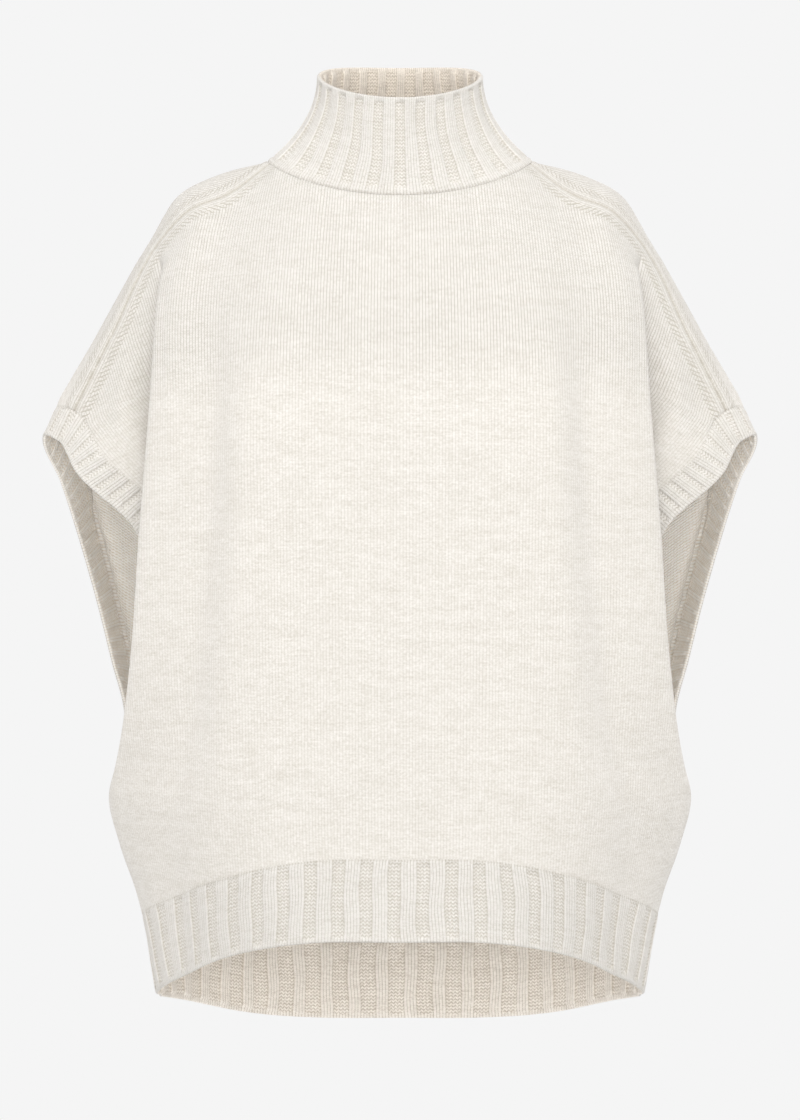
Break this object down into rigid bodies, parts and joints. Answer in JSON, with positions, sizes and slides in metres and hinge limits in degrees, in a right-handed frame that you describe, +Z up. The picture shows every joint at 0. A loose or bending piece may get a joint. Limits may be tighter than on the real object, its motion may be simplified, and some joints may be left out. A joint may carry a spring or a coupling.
{
  "type": "sweater vest",
  "caption": "Oversized sleeveless pullover in plain knit, worn and hollow, with a ribbed funnel collar, wide dropped shoulders, ribbed armholes and a ribbed hem that drops towards the back.",
  "frame": {"origin": "where the wearer's neck and shoulders hold the garment: in the middle between the shoulders, level with the highest point of the shoulder seams", "axes": "+X to the wearer's left, +Y towards the wearer's back, +Z up"},
  "size_m": [0.6312, 0.2944, 0.8573],
  "materials": {
    "front_panel": "matte plain knit",
    "back_panel": "matte plain knit",
    "front_hem_rib": "matte wide rib knit",
    "back_hem_rib": "matte wide rib knit",
    "collar": "matte wide rib knit",
    "left_armhole_rib": "matte narrow rib knit",
    "right_armhole_rib": "matte narrow rib knit"
  },
  "bodies": {
    "root": {"front_panel": "front_panel", "back_panel": "back_panel", "front_hem_rib": "front_hem_rib", "back_hem_rib": "back_hem_rib", "collar": "collar", "left_armhole_rib": "left_armhole_rib", "right_armhole_rib": "right_armhole_rib"}
  },
  "joints": []
}
